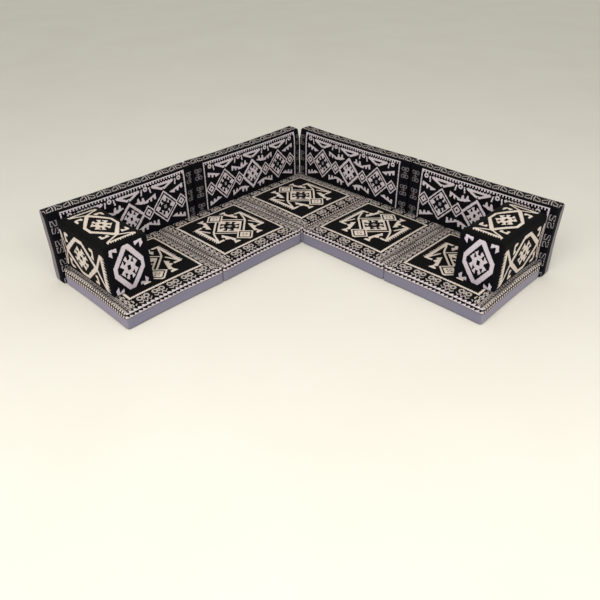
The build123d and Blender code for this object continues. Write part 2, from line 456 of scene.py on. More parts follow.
# Woven figures, drawn on the flat cloth in metres
def inPolygon(x, y, corners):
    inside = np.zeros(x.shape, bool)
    for (ax, ay), (bx, by) in zip(corners, corners[1:] + corners[:1]):
        if ay == by:
            continue
        crosses = (ay > y) != (by > y)
        inside ^= crosses & (x < (bx - ax) * (y - ay) / (by - ay) + ax)
    return inside


def onStroke(x, y, points, width):
    near = np.zeros(x.shape, bool)
    for (ax, ay), (bx, by) in zip(points, points[1:]):
        dx = bx - ax
        dy = by - ay
        share = np.clip(((x - ax) * dx + (y - ay) * dy) / (dx * dx + dy * dy), 0, 1)
        near |= np.hypot(x - ax - share * dx, y - ay - share * dy) < width / 2
    return near


def tooth(along, period):  # 1 at the tip of each tooth, 0 between two
    return 1 - np.abs((along / period) % 1 * 2 - 1)


def flower(x, y, halfWidth, halfHeight):  # eight hooks round a body with a small hole
    ax = np.abs(x) / halfWidth
    ay = np.abs(y) / halfHeight
    edge = [(-0.1, 0.62), (0.15, 0.62), (0.18, 1.0), (0.54, 0.77), (0.25, 0.45), (0.56, 0.29),
            (0.57, 0.68), (1.02, 0.31), (0.66, 0.08), (0.66, -0.1), (-0.1, -0.1)]
    hole = (ax < 0.17) & (ay < 0.19)
    return inPolygon(ax, ay, edge) & ~hole, hole


def slantTeeth(along, up, period, height, slant):  # saw teeth that stand on up = 0
    return (up >= 0) & (up < height * tooth(along - up * slant, period))


def ropeLine(distance, along, half, period=0.0125):  # a line with a nibbled edge on both sides
    nibble = np.where((along / period) % 1 < 0.5, 0.0035, 0.0)
    return np.abs(distance) < half + nibble


def scroll(x, y, radius):  # an open ring with a hook inside it
    ring = np.abs(np.hypot(x, y) - radius) < 0.0042
    opened = (x > 0) & (np.abs(y) < radius * 0.30)
    hook = onStroke(x, y, [(-radius, 0), (-radius * 0.1, 0), (radius * 0.2, radius * 0.4)], 0.006)
    return (ring & ~opened) | hook


def hookLetter(a, b, turned):  # an angular S hook in a unit box, or its mirror image
    if turned:
        a = 1 - a
    path = [(0.10, 0.20), (0.10, 0.02), (0.88, 0.02), (0.88, 0.38), (0.12, 0.62), (0.12, 0.98),
            (0.90, 0.98), (0.90, 0.80)]
    return onStroke(a, b, path, 0.14)


seatPattern = {
    "frame": 0.259,  # from the middle of the cloth
    "field": 0.272,
    "rowStart": 0.270,
    "rowStep": 0.050,
    "pairStart": 0.264,
    "pairPeriod": 0.105,
    "pairShift": 0.3835,
    "rowThread": 0.74,
    "pairThread": 0.66,
    "sideTooth": 0.0294,
    "endDash": 0.0227,
}


def seatFigure(x, y):  # from the middle of the cloth, the combs towards -y and +y
    ax = np.abs(x)
    ay = np.abs(y)
    thread = np.zeros(x.shape)

    # frame of the black field
    fromFrame = np.maximum(ax, ay) - seatPattern["frame"]
    thread[ropeLine(fromFrame, np.where(ax > ay, y, x), 0.0065)] = 1.0

    # combs with the two lines that join them to the diamond
    thread[(ay > 0.185) & (ay < 0.200) & (ax < 0.128)] = 1.0
    thread[slantTeeth(x + 0.011, ay - 0.198, 0.0220, 0.021, 0.4) & (ax < 0.126)] = 1.0
    thread[(ay > 0.148) & (ay < 0.204) & (ax > 0.114) & (ax < 0.129)] = 1.0
    longLine = [(-0.112, -0.190), (-0.020, -0.152), (0.0, -0.140), (0.118, -0.022)]
    shortLine = [(0.112, -0.190), (0.026, -0.154)]
    for line in (longLine, shortLine):
        thread[onStroke(x, y, line, 0.012) | onStroke(-x, -y, line, 0.012)] = 1.0

    # diamond
    fromMiddle = ax + ay
    thread[(fromMiddle < 0.146) & (fromMiddle > 0.131)] = 1.0
    thread[fromMiddle <= 0.131] = 0.0
    thread[fromMiddle < 0.111] = 1.0
    petals, hole = flower(x, y, 0.075, 0.075)
    thread[petals & (fromMiddle < 0.092)] = 0.0
    thread[hole] = 0.45

    # a box on each of the two other corners of the diamond
    boxX = ax - 0.160
    fromBox = np.abs(boxX) + ay
    head = (fromBox < 0.074) & (ax < 0.224)
    thread[head] = 1.0
    rim = (fromBox < 0.060) & (ax < 0.212)
    thread[rim] = 0.0
    thread[(fromBox < 0.047) & (ax < 0.204)] = 1.0
    for dotX, dotY in ((-0.016, 0.0), (0.016, 0.0), (0.0, 0.016), (0.0, 0.0)):
        size = 0.0052 if (dotX or dotY) else 0.0035
        thread[(np.abs(boxX - dotX) < size) & (np.abs(ay - dotY) < size)] = 0.0

    # four toothed leaves
    leaf = [
        (0.055, 0.117), (0.088, 0.142), (0.098, 0.124), (0.126, 0.140), (0.140, 0.110),
        (0.170, 0.107), (0.204, 0.124), (0.204, 0.072), (0.188, 0.078), (0.178, 0.098),
        (0.164, 0.080),
    ]
    thread[inPolygon(ax, ay, leaf)] = 1.0
    return thread


def seatBorder(x, y):  # outside the frame: close rows next to the joints, scroll pairs elsewhere
    ax = np.abs(x)
    ay = np.abs(y)
    thread = np.zeros(x.shape)
    out = ay - seatPattern["rowStart"]
    step = seatPattern["rowStep"]
    ringX = (x + 0.35) % step - step / 2
    firstRow = (out > 0.004) & (out < 0.034)
    knots = np.abs(np.abs(ringX) - step / 2) + np.abs(out - 0.019) < 0.0075
    rows = firstRow & (scroll(ringX, out - 0.019, 0.0125) | knots)
    rows |= (out > 0.0365) & (out < 0.0405)
    letters = hookLetter((x % 0.025) / 0.025, (out - 0.045) / 0.020, False)
    rows |= (out > 0.043) & (out < 0.066) & letters
    rows |= (out >= 0.0695) & (((x + out) / 0.0105) % 1 < 0.5)
    thread[rows] = seatPattern["rowThread"]

    out = ax - seatPattern["pairStart"]
    period = seatPattern["pairPeriod"]
    fromPair = np.abs((y + seatPattern["pairShift"]) % period - period / 2)
    pairs = np.abs(np.hypot(fromPair - 0.0235, (out - 0.033) * 0.88) - 0.0135) < 0.0048
    strokes = (
        [(0.0, 0.022), (0.016, 0.050)],
        [(0.0, 0.050), (0.014, 0.018)],
        [(0.0, 0.082), (0.014, 0.060), (0.028, 0.077), (0.043, 0.062)],
    )
    for stroke in strokes:
        pairs |= onStroke(fromPair, out, stroke, 0.0065)
    thread[pairs & (out > 0.006) & (ay < 0.268)] = seatPattern["pairThread"]
    return thread


def paintSeat(sides, u, v, combsAlong):  # combsAlong: the combs stand along the wing's line
    thread = np.zeros(u.shape)
    tone = np.zeros(u.shape)
    onTop = sides == 0
    x = u - seats["side"] / 2
    y = v - seats["side"] / 2
    fx = np.where(combsAlong, -y, x)
    fy = np.where(combsAlong, x, -y)
    figure = seatFigure(fx, fy)
    border = seatBorder(fx, fy)
    field = np.maximum(np.abs(fx), np.abs(fy)) < seatPattern["field"]
    thread[onTop] = np.where(field, figure, border)[onTop]

    # two rows of teeth on the sides, back to back across a black line, and finer on the ends
    skirt = (sides >= 2) & (v > seats["seam"])
    up = v - seats["seam"]
    atEnd = sides >= 4
    saw = (u / seatPattern["sideTooth"]) % 1
    dash = ((u + up * 0.4) / seatPattern["endDash"]) % 1 < 0.52
    low = (up > 0.005) & np.where(atEnd, (up < 0.022) & dash, up < 0.009 + 0.016 * saw)
    high = (up > 0.033) & np.where(atEnd, dash, up < 0.038 + 0.017 * saw)
    thread[skirt] = np.where(low | high, 1.0, np.where(up < 0.005, 0.33, 0.0))[skirt]
    # painted shade: the skirt's front and rear take three quarters of the shaded side colours and its
    # ends only a quarter, so the ends look lit; the top's border takes a quarter
    tone[skirt] = 0.75
    tone[skirt & atEnd] = 0.25
    tone[onTop & ~field] = 0.25
    # painted light: the band's ends are painted lighter than its front and rear
    band = (sides >= 2) & (v <= seats["seam"])
    tone[band & atEnd] = 1.0
    return thread, tone


backPattern = {
    "frameHalf": 0.457,
    "frameTop": 0.0135,
    "tooth": 0.0213,
    "spacing": 0.268,  # of the large diamonds
    "middleY": 0.225,  # of their row, down from the top
    "borderPeriod": 0.132,
    "curlThread": 0.22,
    "hookThread": 0.42,
    "endThread": 0.40,
    "topPeriod": 0.1107,
    "topBend": 0.010,
    "barThread": 0.68,
    "topHookThread": 0.52,
    "offsets": {  # of the frame and of its figures from the cushion's middle, and of the end hooks
        "back_right_1": (-0.004, -0.011, 0.468),
        "back_right_2": (0.025, 0.012, 0.468),
        "back_left_1": (-0.018, -0.018, 0.468),
        "back_left_2": (-0.004, -0.009, 0.486),
    },
}


def backFigure(frameX, x, y):  # from the middles of the frame and of its figures, and down
    front = np.zeros(x.shape)
    field = (np.abs(frameX) < 0.458) & (y > 0.014)

    # toothed frame
    fromEnd = backPattern["frameHalf"] - np.abs(frameX)
    below = y - backPattern["frameTop"]
    front[(below > 0) & (y < 0.0195) & (fromEnd > 0)] = 1.0
    teeth = (frameX / backPattern["tooth"]) % 1 < 0.42
    front[(y >= 0.0195) & (y < 0.0335) & teeth & (fromEnd > 0)] = 1.0
    front[(fromEnd > 0) & (fromEnd < 0.0062 + 0.0060 * tooth(y, 0.0125)) & (below > 0)] = 1.0

    spacing = backPattern["spacing"]
    middleY = backPattern["middleY"]
    nearest = np.clip(np.round(x / spacing), -1, 1)
    largeX = x - nearest * spacing
    rowY = y - middleY
    fromLarge = np.abs(largeX) * 1.1 + np.abs(rowY)
    inner = nearest == 0
    rim = np.where(inner, 0.093, 0.106)
    front[(fromLarge < 0.119) & (fromLarge > rim) & field] = 1.0
    front[(fromLarge <= rim) & field] = 0.0
    front[(fromLarge < 0.0895) & ~inner & field] = 1.0
    petals, hole = flower(largeX, rowY, 0.057, 0.062)
    front[petals & ~inner & field] = 0.0
    front[hole & ~inner & field] = 0.45
    front[petals & inner & field] = 1.0

    # small diamonds between and beside the large ones
    half = (np.floor(x / spacing) + 0.5) * spacing
    smallX = x - half
    fromSmall = np.abs(smallX) * 1.1 + np.abs(rowY)
    for reach, shade in ((0.055, 1.0), (0.043, 0.0), (0.028, 1.0), (0.0105, 0.0)):
        front[(fromSmall < reach) & field] = shade

    # wide forks over the large diamonds, with ticks and rings between them
    forkEdge = [(-0.01, 0.050), (0.089, 0.050), (0.085, 0.062), (0.012, 0.099), (-0.01, 0.099)]
    fork = inPolygon(np.abs(largeX), y, forkEdge)
    forkTeeth = 0.009 * tooth(largeX, backPattern["tooth"])
    fork |= (np.abs(largeX) < 0.089) & (y > 0.051 - forkTeeth) & (y < 0.052)
    notchEdge = [(-0.01, 0.062), (0.046, 0.062), (0.012, 0.082), (-0.01, 0.082)]
    notch = inPolygon(np.abs(largeX), y, notchEdge)
    front[fork & field] = 1.0
    front[notch & field] = 0.0
    front[(np.abs(largeX) < 0.0036) & (y > 0.088) & (y < 0.108) & field] = 0.0
    tick = np.abs(np.abs(largeX) - 0.101 + (y - 0.070) * 0.15) < 0.0050
    front[tick & (y > 0.050) & (y < 0.090) & field] = 1.0
    loop = np.hypot(smallX, y - 0.054)
    front[(loop < 0.0165) & (loop > 0.0065) & field] = 1.0

    # toothed leaves, mirrored about the middle of the cloth and about the row of diamonds
    ax = np.abs(x)
    leafY = np.where(rowY < 0, y, 2 * middleY - y)
    innerLeaf = [
        (0.204, 0.106), (0.118, 0.140), (0.111, 0.108), (0.099, 0.106), (0.094, 0.130), (0.080, 0.126),
        (0.075, 0.102), (0.064, 0.103), (0.061, 0.124), (0.040, 0.130), (0.085, 0.149), (0.130, 0.155),
        (0.142, 0.152), (0.146, 0.139), (0.157, 0.136), (0.160, 0.153), (0.172, 0.151), (0.175, 0.131),
        (0.187, 0.127), (0.190, 0.148), (0.204, 0.148),
    ]
    outerLeaf = [
        (0.424, 0.096), (0.312, 0.133), (0.343, 0.145), (0.357, 0.145), (0.361, 0.131), (0.373, 0.128),
        (0.378, 0.144), (0.390, 0.142), (0.393, 0.121), (0.404, 0.117), (0.409, 0.132), (0.424, 0.130),
    ]
    leaves = inPolygon(ax, leafY, innerLeaf) | inPolygon(ax, leafY, outerLeaf)
    front[leaves & field] = 1.0
    return front


def backBorder(x, y, hookStart, freeEnd):  # beside the frame: faint curls, and hooks at the free end
    period = backPattern["borderPeriod"]
    border = np.zeros(x.shape)
    outside = (np.abs(x) > 0.462) & (y > 0.02)
    ex = np.abs(np.abs(x) - 0.503)
    ey = np.abs((y - 0.020) % period - period / 2)
    curls = np.abs(np.hypot(ex - 0.016, ey - 0.027) - 0.0115) < 0.0032
    curls |= (ex < 0.0035) & (ey < 0.040) | (ey < 0.0035) & (ex < 0.014)
    across = (np.abs(x) - hookStart) / 0.040
    down = (y - 0.050) % period
    hooks = hookLetter(down / 0.042, across, False) | hookLetter((down - 0.048) / 0.042, across, True)
    atFreeEnd = freeEnd & (x > 0)
    border[outside & curls & ~atFreeEnd] = backPattern["curlThread"]
    border[outside & hooks & atFreeEnd] = backPattern["hookThread"]
    return border


def paintBack(sides, u, v, length, height, offsets, rearDepth, freeEnd):
    thread = np.zeros(u.shape)
    # painted shade: upright faces take most of the shaded side colours; on the rear canvas the same
    # share paints it lighter
    tone = np.full(u.shape, 0.8)
    frameX = u - length / 2 - offsets[0]
    y = height - v  # down from the top
    figure = backFigure(frameX, u - length / 2 - offsets[1], y)
    onFront = sides == 2
    thread[onFront] = np.maximum(figure, backBorder(frameX, y, offsets[2], freeEnd))[onFront]

    # ends: black at the front and grey towards the rear
    onEnd = sides >= 4
    grey = u > 0.046 + 0.5 * np.maximum(0.045 - y, 0.0)
    thread[onEnd] = np.where(grey, backPattern["endThread"], 0.0)[onEnd]

    # top: pairs of hooks between pairs of slanting bars
    onTop = sides == 0
    bend = backPattern["topBend"] * np.sin(v / backs["thickness"] * math.pi)
    along = (u + 0.20 * v + bend) % backPattern["topPeriod"]
    bars = ((along < 0.0065) | ((along > 0.0180) & (along < 0.0245))) & (v > 0.010) & (v < 0.104)
    hooks = hookLetter((along - 0.0290) / 0.035, (v - 0.014) / 0.086, False)
    hooks |= hookLetter((along - 0.0700) / 0.035, (v - 0.014) / 0.086, True)
    woven = np.where(bars, backPattern["barThread"], np.where(hooks, backPattern["topHookThread"], 0.0))
    thread[onTop] = woven[onTop]
    # painted shade: the top takes about a third of the shaded side colours; the rear cloth on it is
    # black
    tone[onTop] = 0.35
    tone[onTop & (v > rearDepth)] = -1.0
    return thread, tone


armPattern = {
    "topMiddle": (0.141, 0.280),
    "topCombs": (0.208, 0.208),  # how far off they are towards -y and +y
    "sideMiddle": (0.310, 0.168),  # along the arm, and down from its top
    "sideStretch": (1.02, 1.30),
    "sideCombs": (0.238, 0.200),
    "frontMiddle": (0.150, 0.157),
    "combStart": 0.168,
    "combRoom": 0.040,
    "topShifts": {"arm_right": (0.0, 0.0), "arm_left": (-0.007, -0.009)},
}


def ringWithFlower(x, y, ringY, rims, petalSize):  # each rim: half width, corner height, tip x and y
    thread = np.zeros(x.shape)
    for (halfWidth, corner, tipX, tipY), shade in zip(rims, (1.0, 0.0)):
        edge = [(-0.01, -0.01), (halfWidth, -0.01), (halfWidth, corner), (tipX, tipY), (-0.01, tipY)]
        inside = inPolygon(np.abs(x), ringY, edge)
        thread[inside] = shade
    petals, _ = flower(x, y, *petalSize)
    thread[petals & inside] = 1.0
    return thread


def medallion(x, y, combs):  # the long way is y
    start = armPattern["combStart"]
    comb = np.where(y < 0, combs[0], combs[1])
    ax = np.abs(x)
    ay = np.abs(y)
    ay = np.where(ay > start, start + (ay - start) * armPattern["combRoom"] / (comb - start), ay)
    rims = ((0.097, 0.038, 0.010, 0.171), (0.079, 0.031, 0.0, 0.142))
    thread = ringWithFlower(x, y, ay, rims, (0.056, 0.076))
    thread[onStroke(ax, ay, [(0.0, 0.168), (0.086, 0.208)], 0.011)] = 1.0
    thread[(ay > 0.207) & (ay < 0.217) & (ax < 0.092)] = 1.0
    thread[slantTeeth(x, ay - 0.216, 0.0155, 0.015, 0.5) & (ax < 0.092)] = 1.0
    hook = [
        (0.040, 0.158), (0.084, 0.158), (0.092, 0.150), (0.089, 0.114), (0.077, 0.118),
        (0.074, 0.141), (0.060, 0.143), (0.052, 0.130), (0.042, 0.134),
    ]
    thread[inPolygon(ax, ay, hook)] = 1.0
    return thread


def frontMedallion(x, y):
    rims = ((0.099, 0.029, 0.018, 0.147), (0.075, 0.014, 0.0, 0.121))
    thread = ringWithFlower(x, y, np.abs(y), rims, (0.055, 0.078))
    hook = [
        (0.055, 0.1465), (0.103, 0.1495), (0.108, 0.116), (0.088, 0.095), (0.086, 0.134),
        (0.058, 0.118),
    ]
    thread[inPolygon(np.abs(x), np.abs(y), hook)] = 1.0
    return thread


def paintArm(sides, u, v, height, shift):
    thread = np.zeros(u.shape)
    tone = np.zeros(u.shape)
    topX, topY = armPattern["topMiddle"]
    top = medallion(u - topX - shift[0], v - topY - shift[1], armPattern["topCombs"])
    middle, down = armPattern["sideMiddle"]
    wide, tall = armPattern["sideStretch"]
    outer = medallion((height - v - down) / tall, (u - middle) / wide, armPattern["sideCombs"])
    frontX, frontY = armPattern["frontMiddle"]
    front = frontMedallion(u - frontX, height - v - frontY)
    # painted shade: the front takes all of the shaded side colours and the ends a fifth, so the ends
    # look lit
    for side, figure, shade in ((0, top, 0.0), (4, outer, 0.2), (5, outer, 0.2), (2, front, 1.0)):
        here = sides == side
        thread[here] = figure[here]
        tone[here] = shade
    return thread, tone


# Each cushion settles against its neighbours, is smoothed, painted, sewn and split into pieces
sewing = {
    "hem": 0.004,
    "grooveDepth": 0.0016,
    "grooveReach": 0.007,
    "foamDepth": 0.005,
    "zipMouth": 0.012,
    "zipRoomDepth": 0.008,  # of the groove in the foam, below its depth elsewhere
    "zipRoomHalf": 0.020,
    "zipRoomEnd": 0.018,
    "zipRoomRear": 0.012,
}


def settle(cushion):  # no side goes past the room that its neighbours leave it
    net = cushion["net"].data
    places = np.clip(verticesOf(net), *cushion["room"])
    if cushion["kind"] == "back":  # the front swells no further than its crown, clear of a lifted seat
        forward = np.maximum(cushion["low"][1] - places[:, 1], 0)
        places[:, 1] += forward - backs["crown"] * np.tanh(forward / backs["crown"])
    moveVertices(net, places)


def fineMesh(cushion, levels):
    net = cushion["net"]
    smooth = net.modifiers.new("smooth", "SUBSURF")
    smooth.levels = levels
    smooth.render_levels = levels
    smooth.uv_smooth = "NONE"
    graph = bpy.context.evaluated_depsgraph_get()
    fine = bpy.data.meshes.new_from_object(net.evaluated_get(graph))
    net.modifiers.clear()
    return fine


def faceValues(mesh):  # side label and flat cloth place of the middle of each face
    count = len(mesh.polygons)
    sides = np.empty(count, np.int32)
    mesh.attributes["side"].data.foreach_get("value", sides)
    flat = np.empty(len(mesh.loops) * 2)
    mesh.uv_layers["flatCloth"].uv.foreach_get("vector", flat)
    flat = flat.reshape(count, 4, 2).mean(1)
    return sides, flat[:, 0], flat[:, 1]


def addAttribute(mesh, name, values, domain="FACE"):
    layer = mesh.attributes.new(name, "FLOAT", domain)
    layer.data.foreach_set("value", values.astype(np.float32))


def seamDistance(cushion, places):  # of each vertex, from the sewn line
    if cushion["kind"] == "seat":
        above = np.where(places[:, 2] > seats["topStart"], 1.0, 0.0)
        return np.abs(places[:, 2] - seats["seam"]) + above
    if cushion["kind"] == "back":
        return np.abs(places[:, 1] - rearLine(cushion["high"]))
    return np.full(len(places), 1.0)


def sewSeams(cushion, mesh):  # the cloth dips where it is sewn
    places = verticesOf(mesh)
    distance = seamDistance(cushion, places)
    dip = sewing["grooveDepth"] * np.clip(1 - distance / sewing["grooveReach"], 0, 1) ** 2
    moveVertices(mesh, places - verticesOf(mesh, "normal") * dip[:, None])
    addAttribute(mesh, "seam", np.minimum(distance, 0.05), "POINT")


def pieceLabels(cushion, sides, u, v):  # which piece each face belongs to
    kind = cushion["kind"]
    labels = np.zeros(len(sides), np.int32)
    if kind == "seat":
        labels[(sides >= 2) & (v < seats["seam"])] = 1
        labels[sides == 1] = 2
        names = ["cover", "band", "base"]
    elif kind == "back":
        depth = rearLine(cushion["high"]) - cushion["low"][1]
        labels[(sides == 3) | (sides == 1)] = 1
        labels[(sides == 0) & (v > depth)] = 1
        labels[(sides >= 4) & (u > depth)] = 1
        names = ["cover", "rear"]
    else:
        labels[sides == 1] = 1
        names = ["cover", "base"]
    return labels, names


diagonalTurn = Matrix(((0, -1, 0, 0), (-1, 0, 0, 0), (0, 0, 1, 0), (0, 0, 0, 1)))
pieceWords = {"cover": "Cover", "band": "Band", "base": "Base", "rear": "Rear", "core": "Foam"}


def finishPiece(cushion, piece, form):  # from its bmesh to a piece that rides on its cushion
    if cushion["mirrored"]:
        bmesh.ops.transform(form, matrix=diagonalTurn, verts=form.verts)
        bmesh.ops.reverse_faces(form, faces=form.faces)
    words = cushion["name"].split("_")
    name = words[0] + "".join(word.capitalize() for word in words[1:]) + pieceWords[piece]
    body = bodyOf(form, name)
    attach(body, cushion["name"])
    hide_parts(cushion["name"] + "_" + piece)
    made.append((body, piece))


def splitPiece(cushion, piece, mesh, away):  # the faces that stay, with a hem turned in round them
    form = bmesh.new()
    form.from_mesh(mesh)
    form.faces.ensure_lookup_table()
    bmesh.ops.delete(form, geom=[form.faces[index] for index in np.flatnonzero(away)], context="FACES")
    form.normal_update()
    border = [edge for edge in form.edges if edge.is_boundary]
    inward = {vert: vert.normal.copy() for edge in border for vert in edge.verts}
    turned = bmesh.ops.extrude_edge_only(form, edges=border)
    for vert in (item for item in turned["geom"] if isinstance(item, bmesh.types.BMVert)):
        origin = next(edge.other_vert(vert) for edge in vert.link_edges
                      if edge.other_vert(vert) in inward)
        vert.co = origin.co - inward[origin] * sewing["hem"]
    finishPiece(cushion, piece, form)


def makeFoam(cushion):  # a little inside the cloth, with a groove behind the zip
    form = bmesh.new()
    form.from_mesh(cushion["net"].data)
    form.normal_update()
    zipRear = cushion["high"][1] - sewing["zipRoomRear"]
    zipEnd = settingsOf[cushion["kind"]]["zipLength"] / 2 + sewing["zipRoomEnd"]
    moves = []
    for vert in form.verts:
        nearZip = (abs(vert.co.z - cushion["zipHeight"]) < sewing["zipRoomHalf"]
                   and abs(vert.co.x - cushion["zipMiddle"]) < zipEnd and vert.co.y > zipRear)
        depth = sewing["foamDepth"] + (sewing["zipRoomDepth"] if nearZip else 0.0)
        moves.append(vert.co - vert.normal * depth)
    for vert, place in zip(form.verts, moves):
        vert.co = place
    finishPiece(cushion, "core", form)


def dressCushion(cushion, levels):  # the smoothed net, painted and sewn, with its piece labels
    mesh = fineMesh(cushion, levels)
    sides, u, v = faceValues(mesh)
    size = cushion["size"]
    if cushion["kind"] == "seat":
        thread, tone = paintSeat(sides, u, v, cushion["name"] != "seat_corner")
    elif cushion["kind"] == "back":
        offsets = backPattern["offsets"][cushion["name"]]
        rearDepth = rearLine(cushion["high"]) - cushion["low"][1]
        freeEnd = cushion["name"].endswith("2")
        thread, tone = paintBack(sides, u, v, size[0], size[2], offsets, rearDepth, freeEnd)
    else:
        thread, tone = paintArm(sides, u, v, size[2], armPattern["topShifts"][cushion["name"]])
    addAttribute(mesh, "thread", thread)
    # each face's share of painted light and shade, and a tone: -1 makes the canvas black
    addAttribute(mesh, "tone", tone)
    sewSeams(cushion, mesh)
    labels, names = pieceLabels(cushion, sides, u, v)
    settings = settingsOf[cushion["kind"]]
    mouth = (sides == 3) & (np.abs(u - size[0] / 2) < settings["zipLength"] / 2)
    mouth &= np.abs(v - settings["zipHeight"]) < sewing["zipMouth"] / 2
    return mesh, labels, names, mouth


made = []  # each finished piece with its kind
for cushion in cushions:
    settle(cushion)
    for levels, pieces in ((2, ("cover", "band")), (1, ("base", "rear"))):
        fine, labels, names, mouth = dressCushion(cushion, levels)
        for which, piece in enumerate(names):
            if piece in pieces:
                splitPiece(cushion, piece, fine, (labels != which) | mouth)
        bpy.data.meshes.remove(fine)
    makeFoam(cushion)
for cushion in cushions:
    bpy.data.objects.remove(cushion["net"])
print("pieces:", len(made))


# Materials
class Wire:  # one socket of a node tree, with the sums that are used on it
    def __init__(self, tree, socket):
        self.tree = tree
        self.socket = socket

    def other(self, output):  # another output of the same node
        return Wire(self.tree, self.socket.node.outputs[output])

    def sum(self, operation, *others):
        return addNode(self.tree, "ShaderNodeMath", dict(enumerate(others)), {"operation": operation})

    def __add__(self, other):
        return self.sum("ADD", self, other)

    def __radd__(self, other):
        return self.sum("ADD", other, self)

    def __sub__(self, other):
        return self.sum("SUBTRACT", self, other)

    def __rsub__(self, other):
        return self.sum("SUBTRACT", other, self)

    def __mul__(self, other):
        return self.sum("MULTIPLY", self, other)

    def __rmul__(self, other):
        return self.sum("MULTIPLY", other, self)

    def __truediv__(self, other):
        return self.sum("DIVIDE", self, other)

    def __rtruediv__(self, other):
        return self.sum("DIVIDE", other, self)

    def __lt__(self, other):
        return self.sum("LESS_THAN", self, other)

    def __gt__(self, other):
        return self.sum("GREATER_THAN", self, other)

    def sine(self):
        return self.sum("SINE", self)

    def size(self):
        return self.sum("ABSOLUTE", self)

    def whole(self):
        return self.sum("FLOOR", self)

    def remainder(self):
        return self.sum("FRACT", self)

    def spread(self, low, high, newLow=0.0, newHigh=1.0):
        values = {"Value": self, "From Min": low, "From Max": high, "To Min": newLow, "To Max": newHigh}
        return addNode(self.tree, "ShaderNodeMapRange", values, {"interpolation_type": "SMOOTHSTEP"})


def addNode(tree, kind, inputs=None, settings=None, output=0):
    # the settings are set before the values or links of the sockets
    node = tree.nodes.new(kind)
    for name, value in (settings or {}).items():
        setattr(node, name, value)
    for name, value in (inputs or {}).items():
        if isinstance(value, Wire):
            tree.links.new(value.socket, node.inputs[name])
        else:
            node.inputs[name].default_value = value
    return Wire(tree, node.outputs[output]) if node.outputs else None


def startMaterial(name):
    material = bpy.data.materials.new(name)
    material.use_nodes = True
    material.node_tree.nodes.clear()
    return material, material.node_tree


def finishSurface(tree, values):
    surface = addNode(tree, "ShaderNodeBsdfPrincipled", values)
    addNode(tree, "ShaderNodeOutputMaterial", {"Surface": surface})


def mixColour(tree, factor, first, second):
    return addNode(tree, "ShaderNodeMix", {0: factor, 6: first, 7: second}, {"data_type": "RGBA"}, 2)


def objectPlace(tree):
    return addNode(tree, "ShaderNodeTexCoord", output=3)


def noiseOf(tree, place, scale, detail=2.0):
    return addNode(tree, "ShaderNodeTexNoise", {"Vector": place, "Scale": scale, "Detail": detail})


def bumpOf(tree, strength, distance, height):
    values = {"Strength": strength, "Distance": distance, "Height": height}
    return addNode(tree, "ShaderNodeBump", values)


def colour(red, green, blue):  # from the 0 to 255 values of a picture, to light values
    shades = []
    for value in (red, green, blue):
        value = value / 255
        shades.append(value / 12.92 if value <= 0.04045 else ((value + 0.055) / 1.055) ** 2.4)
    return (*shades, 1.0)


def tinted(shade, red, green, blue):
    return (shade[0] * red, shade[1] * green, shade[2] * blue, 1.0)


# What both cloths share: the weave runs along the flat cloth, and stitches follow the seams
stitching = {
    "fromSeam": 0.0042,
    "half": 0.0005,
    "length": 0.0045,
    "share": 0.62,
    "height": 0.8,
}


def clothParts(tree, weft, warp):  # height of the weave, flat place, stitches, and each face's share of painted light and tone
    flat = addNode(tree, "ShaderNodeUVMap", settings={"uv_map": "flatCloth"})
    u = addNode(tree, "ShaderNodeSeparateXYZ", {0: flat})
    v = u.other(1)
    row = (v / weft).whole()
    over = (u / warp + row * 0.5) * math.pi * 2
    rib = (v / weft * math.pi).sine().size()
    height = rib * (over.sine() * 0.35 + 0.65)
    seam, tone = (addNode(tree, "ShaderNodeAttribute", settings={"attribute_name": name}, output=2)
                  for name in ("seam", "tone"))
    onLine = (seam - stitching["fromSeam"]).size() < stitching["half"]
    stitches = onLine * ((u / stitching["length"]).remainder() < stitching["share"])
    return height, v, stitches, tone


clothDyes = {
    "blackTop": colour(11, 10, 10),
    # painted shade: a bluer copy of the black for upright faces
    "shadedBlack": colour(10, 10, 16),
    "cream": colour(236, 222, 207),
    # painted shade: a darker, bluer copy of the cream for upright faces
    "lilac": colour(216, 206, 216),
    "worn": colour(196, 172, 140),
    "wear": 0.22,
    "yarn": colour(150, 132, 118),
    "mottle": 0.30,
    "lintColour": colour(170, 165, 160),
    "lint": 0.006,
    "hollow": colour(12, 11, 13),
    "hollowShade": 0.30,
    "stitch": colour(48, 44, 48),
    "stitchShade": 0.8,
    "weft": 0.0030,
    "warp": 0.0042,
    "relief": 0.0011,
    "sheen": 0.012,
    "gloss": 0.04,
    "roughness": (0.80, 0.96),
}


